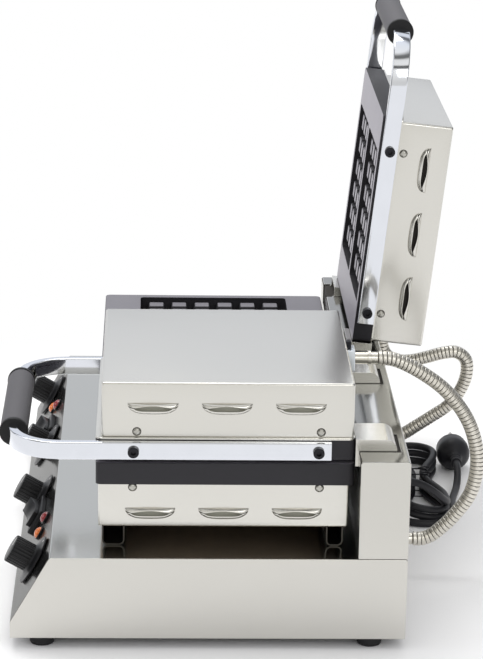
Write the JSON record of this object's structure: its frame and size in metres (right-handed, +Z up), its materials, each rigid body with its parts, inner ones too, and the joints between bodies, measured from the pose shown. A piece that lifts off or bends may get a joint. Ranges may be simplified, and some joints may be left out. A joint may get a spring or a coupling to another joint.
{
  "type": "belgian waffle maker",
  "caption": "Countertop waffle maker: a steel base with a sloped control panel, cast waffle plates side by side, hinged lids with bent bar handles.",
  "frame": {"origin": "on the counter, under the middle of the machine's box without its leads", "axes": "+X to the machine's right as its user faces the panel from the front, +Y to the rear, +Z up"},
  "size_m": [0.6, 0.4738, 0.5003],
  "materials": {
    "steel_sheet": "fine brushed stainless sheet",
    "steel_polished": "polished stainless sheet",
    "zinc_steel": "zinc plated",
    "cast_plate": "seasoned cast iron",
    "chrome_bar": "bright chrome",
    "grip_plastic": "matt moulded",
    "black_plastic": "moulded",
    "foot_rubber": "matt",
    "cord_rubber": "satin sheath",
    "amber_lens": "clear lens",
    "red_lens": "clear lens",
    "nickel_plate": "nickel plated"
  },
  "bodies": {
    "base": {"base_shell": "steel_sheet", "bottom_plate": "zinc_steel", "riser_housing": "steel_polished", "foot_front_right": "foot_rubber", "foot_rear_right": "foot_rubber", "foot_front_left": "foot_rubber", "foot_rear_left": "foot_rubber", "thermostat_body_right": "zinc_steel", "timer_body_right": "zinc_steel", "switch_frame_right": "black_plastic", "amber_lamp_right": "amber_lens", "red_lamp_right": "red_lens", "thermostat_body_left": "zinc_steel", "timer_body_left": "zinc_steel", "switch_frame_left": "black_plastic", "amber_lamp_left": "amber_lens", "red_lamp_left": "red_lens", "lower_casing_right": "steel_sheet", "lower_plate_right": "cast_plate", "lower_element_right": "zinc_steel", "lower_casing_left": "steel_sheet", "lower_plate_left": "cast_plate", "lower_element_left": "zinc_steel", "hinge_bracket_right": "zinc_steel", "hinge_shaft_right": "zinc_steel", "hinge_bracket_left": "zinc_steel", "hinge_shaft_left": "zinc_steel", "base_gland_right": "nickel_plate", "base_gland_left": "nickel_plate", "hose_right": "nickel_plate", "hose_left": "nickel_plate", "strain_relief": "cord_rubber", "cord_lead": "cord_rubber", "cord_hank": "cord_rubber", "cord_tail": "cord_rubber", "mains_plug": "black_plastic"},
    "lid_right": {"upper_plate_right": "cast_plate", "lid_flange_right": "steel_sheet", "lid_cover_right": "steel_sheet", "upper_element_right": "zinc_steel", "handle_bar_right": "chrome_bar", "handle_grip_right": "grip_plastic", "hinge_arm_outer_right": "steel_polished", "hinge_arm_inner_right": "steel_polished", "lid_gland_right": "nickel_plate"},
    "lid_left": {"upper_plate_left": "cast_plate", "lid_flange_left": "steel_sheet", "lid_cover_left": "steel_sheet", "upper_element_left": "zinc_steel", "handle_bar_left": "chrome_bar", "handle_grip_left": "grip_plastic", "hinge_arm_outer_left": "steel_polished", "hinge_arm_inner_left": "steel_polished", "lid_gland_left": "nickel_plate"},
    "thermostat_knob_right": {"thermostat_knob_right": "black_plastic"},
    "timer_knob_right": {"timer_knob_right": "black_plastic"},
    "thermostat_knob_left": {"thermostat_knob_left": "black_plastic"},
    "timer_knob_left": {"timer_knob_left": "black_plastic"},
    "switch_rocker_right": {"switch_rocker_right": "black_plastic"},
    "switch_rocker_left": {"switch_rocker_left": "black_plastic"}
  },
  "joints": [
    {"name": "lid_right_hinge", "type": "hinge", "parent": "base", "child": "lid_right", "pos_m": [0.15, 0.12015, 0.1695], "axis": [-1, 0, 0], "range_deg": [0, 96], "deforming": ["hose_right"]},
    {"name": "lid_left_hinge", "type": "hinge", "parent": "base", "child": "lid_left", "pos_m": [-0.15, 0.12015, 0.1695], "axis": [-1, 0, 0], "range_deg": [-96, 0], "deforming": ["hose_left"]},
    {"name": "thermostat_right_turn", "type": "hinge", "parent": "base", "child": "thermostat_knob_right", "pos_m": [0.24, -0.18182, 0.06012], "axis": [0, -0.8656, 0.5008], "range_deg": [-270, 0]},
    {"name": "timer_right_turn", "type": "hinge", "parent": "base", "child": "timer_knob_right", "pos_m": [0.075, -0.18182, 0.06012], "axis": [0, -0.8656, 0.5008], "range_deg": [-300, 0]},
    {"name": "thermostat_left_turn", "type": "hinge", "parent": "base", "child": "thermostat_knob_left", "pos_m": [-0.24, -0.18182, 0.06012], "axis": [0, -0.8656, 0.5008], "range_deg": [-270, 0]},
    {"name": "timer_left_turn", "type": "hinge", "parent": "base", "child": "timer_knob_left", "pos_m": [-0.075, -0.18182, 0.06012], "axis": [0, -0.8656, 0.5008], "range_deg": [-300, 0]},
    {"name": "switch_right_tilt", "type": "hinge", "parent": "base", "child": "switch_rocker_right", "pos_m": [0.122, -0.18368, 0.05889], "axis": [0, 0.5008, 0.8656], "range_deg": [-18, 0]},
    {"name": "switch_left_tilt", "type": "hinge", "parent": "base", "child": "switch_rocker_left", "pos_m": [-0.122, -0.18368, 0.05889], "axis": [0, 0.5008, 0.8656], "range_deg": [-18, 0]}
  ]
}
